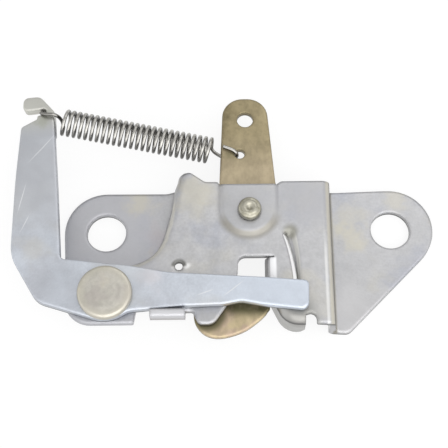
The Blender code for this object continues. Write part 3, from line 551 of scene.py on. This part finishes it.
def rivet_finish(name):
    """Yellowish zinc on turned steel."""
    dark = (0.460, 0.445, 0.395)
    plain = (0.510, 0.490, 0.440)
    straw = (0.570, 0.530, 0.440)
    return plated(name, (dark, plain, straw), 0.40, patch=200.0)


def catch_rivet_finish():
    """Olive-grey rivet steel, hammered rough round the punch mark."""
    dark = (0.30, 0.285, 0.22)
    plain = (0.40, 0.385, 0.32)
    straw = (0.46, 0.43, 0.34)
    m = plated("rivet_steel_small", (dark, plain, straw), 0.34, patch=500.0)
    top = (*CATCH_PIVOT, 14.5)
    rim = m.maths("SUBTRACT", m.near(top, 2.05, 0.35), m.near(top, 1.25, 0.3))
    m.normal = m.bump(m.noise(900.0, 2.0), 0.10, m.bump(rim, 0.15, m.normal))
    return finished(m)


def tool_rings(m):
    """Return rings about the ejector's pivot."""
    mapping = m.add("ShaderNodeMapping", vector_type="TEXTURE")
    mapping.inputs["Location"].default_value = at(*EJECTOR_PIVOT)
    m.put(m.point(), mapping.inputs["Vector"])
    rings = m.add("ShaderNodeTexWave", wave_type="RINGS", rings_direction="Z")
    m.put(mapping.outputs["Vector"], rings.inputs["Vector"])
    rings.inputs["Scale"].default_value = 180.0
    rings.inputs["Distortion"].default_value = 1.2
    return rings.outputs["Fac"]


def ejector_rivet_finish():
    """Rivet finish with a pale rim and faint rings from the tool that headed it."""
    m = rivet_finish("rivet_steel")
    swirl = m.noise(160.0, 3.0, 0.5, turn=0.8)
    m.paint(m.spread(swirl, 0.42, 0.6, 0.0, 0.6), (0.45, 0.415, 0.385))
    m.paint(m.near((*EJECTOR_PIVOT, 16.8), 5.6, 1.2, inside=0.0), (0.56, 0.53, 0.44), 0.5)
    m.normal = m.bump(tool_rings(m), 0.02, m.normal)
    return finished(m)


def spring_finish():
    """Bright drawn wire, with painted shade on its upright sides, and darker on the hook at the ejector."""
    m = Finish("spring_wire")
    streak = m.noise(900.0, 3.0, 0.6)
    m.colour = m.mix(m.spread(streak, 0.35, 0.65, 0.0, 1.0), (0.36, 0.35, 0.33), (0.49, 0.48, 0.45))
    # painted shade on the wire's upright sides
    m.colour = m.shade(m.colour, m.steepness(0.1, 0.62, 0.25, 1.0))
    m.colour = m.shade(m.colour, m.along("X", -53.4, -52.0, 0.6, 1.0))
    m.rough = m.spread(m.noise(400.0), 0.3, 0.7, 0.22, 0.32)
    m.normal = m.bump(streak, 0.004)
    m.shader.inputs["Metallic"].default_value = 1.0
    return finished(m)


def smooth_through(points, step):
    """Return a curve through the points, with about the given spacing."""
    result = []
    last = len(points) - 1
    for i in range(last):
        p0, p1, p2, p3 = (points[min(max(k, 0), last)] for k in (i - 1, i, i + 1, i + 2))
        count = max(1, round((p2 - p1).length / step))
        for k in range(count):
            t = k / count
            a = p0 * (-0.5 * t ** 3 + t ** 2 - 0.5 * t) + p1 * (1.5 * t ** 3 - 2.5 * t ** 2 + 1.0)
            b = p2 * (-1.5 * t ** 3 + 2.0 * t ** 2 + 0.5 * t) + p3 * (0.5 * t ** 3 - 0.5 * t ** 2)
            result.append(a + b)
    result.append(points[-1])
    return result


def coil_axes():
    """Return the coil's axis, the direction to its front and the one across both."""
    axis = (Vector(COIL_RIGHT) - Vector(COIL_LEFT)).normalized()
    up = (Vector((0.0, 0.0, 1.0)) - axis * axis.z).normalized()
    return axis, up, axis.cross(up)


def coil_point(turns):
    """Return a point of the coil's middle line after so many turns."""
    axis, up, side = coil_axes()
    length = (Vector(COIL_RIGHT) - Vector(COIL_LEFT)).length
    a = 2 * math.pi * turns
    place = Vector(COIL_LEFT) + axis * (length * turns / COIL_TURNS)
    return place + (up * math.cos(a) - side * math.sin(a)) * COIL_R


def coil(first, last):
    """Return the coil's middle line between two numbers of turns."""
    count = round((last - first) * PER_TURN)
    return [coil_point(first + (last - first) * i / count) for i in range(count + 1)]


def neck_hook():
    """Return the middle line of the hook in the ejector lever's throat, up to the coil."""
    line = [Vector(THROAT) + Vector(p) for p in NECK_HOOK]
    return smooth_through([*line, coil_point(COIL_START)], WIRE_STEP)[:-1]


def catch_hook():
    """Return the middle line of the hook in the catch, from the coil on."""
    line = [Vector(CATCH_HOLE) + Vector(p) for p in CATCH_HOOK]
    return smooth_through([coil_point(COIL_TURNS), *line], WIRE_STEP)[1:]


def wire(name, path, finish):
    """Make a round wire along a middle line given in millimetres from the datum."""
    points = []
    last = len(path) - 1
    tangent = (path[1] - path[0]).normalized()
    side = tangent.orthogonal().normalized()
    for i, place in enumerate(path):
        tangent = (path[min(i + 1, last)] - path[max(i - 1, 0)]).normalized()
        side = (side - tangent * side.dot(tangent)).normalized()
        up = tangent.cross(side)
        for k in range(WIRE_SIDES):
            a = 2 * math.pi * k / WIRE_SIDES
            points.append(at(*(place + (side * math.cos(a) + up * math.sin(a)) * WIRE_R)))
    faces = []
    for i in range(last):
        for k in range(WIRE_SIDES):
            n = (k + 1) % WIRE_SIDES
            row = i * WIRE_SIDES
            faces.append((row + k, row + n, row + n + WIRE_SIDES, row + k + WIRE_SIDES))
    faces.append(tuple(range(WIRE_SIDES))[::-1])
    faces.append(tuple(last * WIRE_SIDES + k for k in range(WIRE_SIDES)))
    mesh = bpy.data.meshes.new(name)
    mesh.from_pydata(points, [], faces)
    mesh.shade_smooth()
    mesh.materials.append(finish)
    item = bpy.data.objects.new(name, mesh)
    bpy.context.scene.collection.objects.link(item)
    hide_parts("tension_spring")
    return item


def make_spring():
    """Make the spring as two halves that meet in the middle."""
    finish = spring_finish()
    half = COIL_TURNS / 2
    left = wire("spring_left_half", neck_hook() + coil(COIL_START, half), finish)
    right = wire("spring_right_half", coil(half, COIL_TURNS) + catch_hook(), finish)
    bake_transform(left)
    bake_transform(right)


def dress(name, material, width, angle=35.0):
    """Give a carried node its finish, round its edges a little and smooth its facets."""
    item = nodes[name]
    item.data.materials.clear()
    item.data.materials.append(material)
    item.data.shade_smooth()
    weld = item.modifiers.new("weld", "WELD")
    weld.merge_threshold = 1e-6
    bevel = item.modifiers.new("edges", "BEVEL")
    bevel.width = width * MM
    bevel.segments = 2
    bevel.limit_method = "ANGLE"
    bevel.angle_limit = math.radians(angle)
    bevel.harden_normals = True
    even = item.modifiers.new("normals", "WEIGHTED_NORMAL")
    even.keep_sharp = True


def make_floor():
    """Make a white floor that keeps a soft shadow."""
    half = FLOOR_HALF
    corners = [(-half, -half, 0.0), (half, -half, 0.0), (half, half, 0.0), (-half, half, 0.0)]
    mesh = bpy.data.meshes.new("floor")
    mesh.from_pydata(corners, [], [(0, 1, 2, 3)])
    floor = bpy.data.objects.new("floor", mesh)
    floor.location.z = FLOOR_Z
    bpy.context.scene.collection.objects.link(floor)
    m = Finish("white_floor")
    m.shader.inputs["Base Color"].default_value = (FLOOR_TONE, FLOOR_TONE, FLOOR_TONE, 1.0)
    m.shader.inputs["Roughness"].default_value = 0.9
    glow = m.add("ShaderNodeEmission")
    path = m.add("ShaderNodeLightPath")
    seen = m.maths("MAXIMUM", path.outputs["Is Camera Ray"], path.outputs["Is Glossy Ray"])
    both = m.add("ShaderNodeMixShader")
    m.put(m.maths("MULTIPLY", seen, FLOOR_GLOW), both.inputs[0])
    m.put(m.shader.outputs[0], both.inputs[1])
    m.put(glow.outputs[0], both.inputs[2])
    m.put(both.outputs[0], m.tree.nodes["Material Output"].inputs["Surface"])
    mesh.materials.append(m.material)


def make_light():
    """Light the studio: a sky that is bright in front and at the sides and dimmer behind, and a soft lamp."""
    world = bpy.data.worlds.new("studio")
    world.use_nodes = True
    tree = world.node_tree
    sky = tree.nodes["Background"]
    place = tree.nodes.new("ShaderNodeTexCoord")

    def ramp(value, start, stop, low, high):
        node = tree.nodes.new("ShaderNodeMapRange")
        node.interpolation_type = "SMOOTHSTEP"
        for key, number in (("From Min", start), ("From Max", stop), ("To Min", low), ("To Max", high)):
            node.inputs[key].default_value = number
        tree.links.new(value, node.inputs["Value"])
        return node.outputs["Result"]

    def facing(direction):
        node = tree.nodes.new("ShaderNodeVectorMath")
        node.operation = "DOT_PRODUCT"
        node.inputs[1].default_value = Vector(direction).normalized()
        tree.links.new(place.outputs["Generated"], node.inputs[0])
        return node.outputs["Value"]

    def blend(factor, first, second):
        node = tree.nodes.new("ShaderNodeMix")
        tree.links.new(factor, node.inputs[0])
        tree.links.new(first, node.inputs[2])
        node.inputs[3].default_value = second
        return node.outputs[0]

    level = ramp(facing(BACK_WAY), *BACK_FADE, SIDE_LIGHT, BACK_LIGHT)
    level = blend(ramp(facing(TOP_WAY), *TOP_FADE, 0.0, 1.0), level, TOP_LIGHT)
    level = blend(ramp(facing(FRONT_WAY), *FRONT_FADE, 0.0, 1.0), level, FRONT_LIGHT)
    tree.links.new(level, sky.inputs["Strength"])
    sky.inputs["Color"].default_value = (1.0, 1.0, 1.0, 1.0)
    bpy.context.scene.world = world

    lamp = bpy.data.lights.new("key", "AREA")
    lamp.size = LAMP_SIZE
    lamp.energy = LAMP_POWER
    item = bpy.data.objects.new("key", lamp)
    item.location = LAMP_PLACE
    item.rotation_mode = "QUATERNION"
    item.rotation_quaternion = (-item.location).to_track_quat("-Z", "Y")
    bpy.context.scene.collection.objects.link(item)


def main():
    """Dress the latch and light it."""
    make_camera()
    dress("base_plate", base_plate_finish(), 0.4)
    dress("ejector_lever", ejector_lever_finish(), 0.05)
    dress("catch_lever", catch_lever_finish(), 0.05)
    dress("ejector_rivet", ejector_rivet_finish(), 0.05)
    dress("catch_rivet", catch_rivet_finish(), 0.05)
    dress("catch_spacer", finished(rivet_finish("spacer_steel")), 0.05)
    make_spring()
    make_floor()
    make_light()
    bpy.context.scene.view_settings.view_transform = "Standard"


main()
